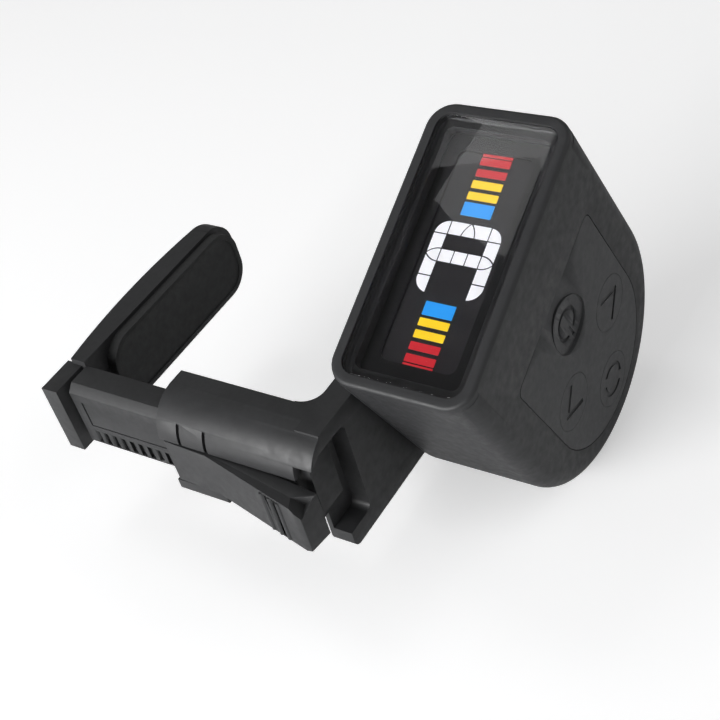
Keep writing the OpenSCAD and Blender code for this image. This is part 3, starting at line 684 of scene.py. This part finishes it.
# %% A row of equal items
def row_tree(material):
    """Copies the incoming item along a step, as plain geometry in one finish."""
    tree = bpy.data.node_groups.new("row of " + material.name, "GeometryNodeTree")
    face = tree.interface
    face.new_socket("Item", in_out="INPUT", socket_type="NodeSocketGeometry")
    face.new_socket("Count", in_out="INPUT", socket_type="NodeSocketInt")
    face.new_socket("Step", in_out="INPUT", socket_type="NodeSocketVector")
    face.new_socket("Row", in_out="OUTPUT", socket_type="NodeSocketGeometry")
    nodes, links = tree.nodes, tree.links
    given, out = nodes.new("NodeGroupInput"), nodes.new("NodeGroupOutput")
    line = nodes.new("GeometryNodeMeshLine")
    place = nodes.new("GeometryNodeInstanceOnPoints")
    real = nodes.new("GeometryNodeRealizeInstances")
    finish = nodes.new("GeometryNodeSetMaterial")
    finish.inputs["Material"].default_value = material
    links.new(given.outputs["Count"], line.inputs["Count"])
    links.new(given.outputs["Step"], line.inputs["Offset"])
    links.new(line.outputs["Mesh"], place.inputs["Points"])
    links.new(given.outputs["Item"], place.inputs["Instance"])
    links.new(place.outputs["Instances"], real.inputs["Geometry"])
    links.new(real.outputs["Geometry"], finish.inputs["Geometry"])
    links.new(finish.outputs["Geometry"], out.inputs["Row"])
    return tree


def in_a_row(item, count, step, finish):
    """Replaces an item by a row of it. Step is in metres."""
    tree = row_tree(FINISH[finish])
    run = item.modifiers.new("row", "NODES")
    run.node_group = tree
    sockets = {s.name: s.identifier for s in tree.interface.items_tree if s.in_out == "INPUT"}
    run[sockets["Count"]] = count
    run[sockets["Step"]] = list(step)
    return finished(item, item.name)


def joined(pieces, name):
    """Several pieces as one mesh."""
    mesh = bpy.data.meshes.new(name)
    shaped = bmesh.new()
    for piece in pieces:
        shaped.from_mesh(piece.data)
    shaped.to_mesh(mesh)
    shaped.free()
    for material in pieces[0].data.materials:
        mesh.materials.append(material)
    for piece in pieces:
        old = piece.data
        bpy.data.objects.remove(piece)
        bpy.data.meshes.remove(old)
    return new_piece(name, mesh)


def turned(vector, place=HEAD):
    """A direction in the head's frame, seen from outside."""
    return place.to_3x3() @ Vector(vector)


# %% [markdown]
# The display is a stack: a black mask, a grey panel, lit segments on it, and smoked glass
# over an air gap. The bars grow redder away from the note. Each colour is one item in a
# row on either side of the note.

# %% Meter bars
bar_low, bar_high = box_in("meter_blue")
segment_z = (panel_high.z, panel_high.z + 0.06 * MM)
bar_length = bar_high.x - bar_low.x
letter_low, letter_high = box_in("note_letter")
letter_w = letter_high.x - letter_low.x
letter_h = letter_high.y - letter_low.y
first_bar = letter_h / 2 + 1.6 * MM
bar_pitch = 1.22 * MM


def meter_bar(name, place, thick, finish):
    """One bar of the meter, square-cornered as printed."""
    bar = plate(name, bar_length, thick, 0.06 * MM, *segment_z, finish, steps=2)
    bar.data.transform(Matrix.Translation(turned((0, place, 0))))
    return bar


def both_ways(name, start, count, thick, finish):
    """The same row of bars on both sides of the note."""
    rows = []
    for side in (1, -1):
        item = meter_bar(name + " row", side * start, thick, finish)
        rows.append(in_a_row(item, count, turned((0, side * bar_pitch, 0)), finish))
    return rows


thick_bar = 1.4 * MM
thin_bar = 0.8 * MM
cut_bar = 0.26 * MM
blue_rows = both_ways("blue", first_bar - thick_bar / 8, 1, thick_bar, "segment_blue")
settle(joined(blue_rows, "blue_bars"), "head", "meter_blue")
yellow_rows = both_ways("yellow", first_bar + bar_pitch, 2, thin_bar, "segment_yellow")
settle(joined(yellow_rows, "yellow_bars"), "head", "meter_yellow")
lit_half = box_in("meter_red")[1].y
red_rows = both_ways("red", first_bar + 3 * bar_pitch, 2, thin_bar, "segment_red")
red_rows += both_ways("red end", lit_half - 0.14 * MM, 1, cut_bar, "segment_red")
settle(joined(red_rows, "red_bars"), "head", "meter_red")

# %% [markdown]
# The note is drawn by separate segments: round corners, a pointed arch in the top bar, pointed
# ends on the middle bar and feet that taper. Each is a flat outline. Drawing one half and
# mirroring it keeps the letter even, and an inset leaves the thin dark lines between them.

# %% Note segments
def bow(start, end, bulge, steps=8):
    """Points along a shallow arc between two points. Bulge is a share of the chord."""
    ax, ay = start
    bx, by = end
    nx, ny = by - ay, ax - bx
    return [(ax + (bx - ax) * t + nx * bulge * 4 * t * (1 - t),
             ay + (by - ay) * t + ny * bulge * 4 * t * (1 - t))
            for t in [k / steps for k in range(steps + 1)]]


def note_outlines():
    """Outlines of the note's segments, on five equal columns and four rows."""
    col = letter_w / 5
    edge, inner, mid = -2.5 * col, -1.5 * col, -0.5 * col
    top, under_top = letter_h / 2, letter_h / 2 - 1.45 * MM
    bar_top, bar_low_y, point = 0.85 * MM, -0.5 * MM, 0.17 * MM
    foot, end = -2.05 * MM, -letter_h / 2
    left = [
        [(edge, under_top), (inner, under_top)] + bow((inner, top), (edge, under_top),
                                                      0.2)[:-1],
        [(inner, under_top)] + bow((mid, under_top), (0, top), -0.09) + [(inner, top)],
        [(edge, under_top), (edge, point)] + bow((edge, point), (inner, bar_top), -0.12)[1:]
        + [(inner, under_top)],
        bow((inner, bar_top), (edge, point), 0.12) + bow((edge, point), (inner, bar_low_y),
                                                         0.12)[1:],
        [(edge, point)] + bow((edge, point), (inner, bar_low_y), 0.12)[1:]
        + [(inner, foot), (edge, foot)],
        [(edge, foot), (inner, foot), (inner, end)] + bow((inner, end), (edge, foot - 0.5 * MM),
                                                          -0.16)[1:],
    ]
    right = [[(-x, y) for x, y in reversed(shape)] for shape in left]
    squares = [[(x, bar_low_y), (x + col, bar_low_y), (x + col, bar_top), (x, bar_top)]
               for x in (inner, mid, mid + col)]
    arch = [bow((mid, under_top), (0, top), -0.09) + bow((0, top), (-mid, under_top), -0.09)[1:]]
    return left + right + squares + arch


def note_mesh(name, line):
    """All segments as thin raised flats with a dark line between neighbours."""
    shaped = bmesh.new()
    for outline in note_outlines():
        corners = []
        for x, y in outline:
            if not corners or (Vector((x, y)) - Vector(corners[-1])).length > 2e-6:
                corners.append((x, y))
        if (Vector(corners[0]) - Vector(corners[-1])).length < 2e-6:
            corners.pop()
        face = shaped.faces.new([shaped.verts.new((x, y, segment_z[0])) for x, y in corners])
        face.normal_update()
        if face.normal.z < 0:
            face.normal_flip()
        ring = bmesh.ops.inset_individual(shaped, faces=[face], thickness=line / 2,
                                          use_even_offset=True)
        bmesh.ops.delete(shaped, geom=ring["faces"], context="FACES")
    raised = bmesh.ops.extrude_face_region(shaped, geom=shaped.faces[:])
    bmesh.ops.translate(shaped, vec=(0, 0, segment_z[1] - segment_z[0]),
                        verts=[v for v in raised["geom"] if isinstance(v, bmesh.types.BMVert)])
    bmesh.ops.recalc_face_normals(shaped, faces=shaped.faces)
    bmesh.ops.transform(shaped, matrix=HEAD, verts=shaped.verts)
    mesh = bpy.data.meshes.new(name)
    shaped.to_mesh(mesh)
    shaped.free()
    mesh.materials.append(FINISH["segment_white"])
    return new_piece(name, mesh)


settle(note_mesh("note_segments", 0.15 * MM), "head", "note_letter")

# %% [markdown]
# The window is a thin smoked slab with a polished, slightly rolled edge. The mask under it is
# a black frame whose opening has round corners.

# %% Window and mask
pane = plate("window_pane", window_high.x - window_low.x, window_high.y - window_low.y,
             1.55 * MM, window_low.z, window_high.z, "window_glass", 0.12 * MM)
settle(shade(pane), "head", "display_window")
mask = plate("mask_frame", mask_high.x - mask_low.x, mask_high.y - mask_low.y, 0.75 * MM,
             mask_low.z, mask_high.z, "mask_black")
mask = carve(mask, plate("mask opening", 8.1 * MM, 2 * lit_half, 0.9 * MM, mask_low.z - MM,
                         mask_high.z + MM, "mask_black"))
settle(shade(mask), "head", "display_mask")

# %% [markdown]
# The keys are caps in a rubber field that is flush with the head's side. Their icons are
# shallow grooves in the same rubber. On the real pad the caps and the field are one skin, so
# each cap is widened here until only a hairline shows round it.

# %% Keypad and icons
soften("key_field", "keypad", 0.03, 1, 50)
for node, name in (("power_key", "power_cap"), ("up_key", "up_cap"), ("down_key", "down_cap"),
                   ("mode_key", "mode_cap")):
    cap = whole_copy(node, name)
    key_low, key_high = box_in(node)
    key_axis = (key_low + key_high) / 2
    for vertex in cap.data.vertices:
        point = HEAD_BACK @ vertex.co
        reach = Vector((0, point.y - key_axis.y, point.z - key_axis.z))
        if reach.length > 2.9 * MM:
            point += reach.normalized() * 0.07 * MM
            vertex.co = HEAD @ point
    shade(cap)
    settle(cap, body_of[node], node)

# %% [markdown]
# The clip's moulded parts keep their CAD shapes, with every edge rolled over by the small
# radius that a moulding has. The rubber pads get a softer roll.

# %% Clip mouldings and pads
soften("clamp_body", "clip_sleeve_and_plate", 0.28, 3, 30)
soften("jaw_bar", "ratchet_bar_and_arm", 0.14, 2, 30, shortest=2.0)
soften("release_lever", "thumb_lever", 0.22, 3, 28)
soften("far_jaw_pad", "far_pad", 0.22, 3, 35)
soften("near_jaw_pad", "near_pad", 0.12, 2, 35)
soften("battery_drawer", "drawer_tray", 0.1, 2, 35)
soften("coin_cell", "coin_cell_can", 0.12, 2, 35)
soften("cover_screws", "sunk_screws", 0.04, 2, 35)
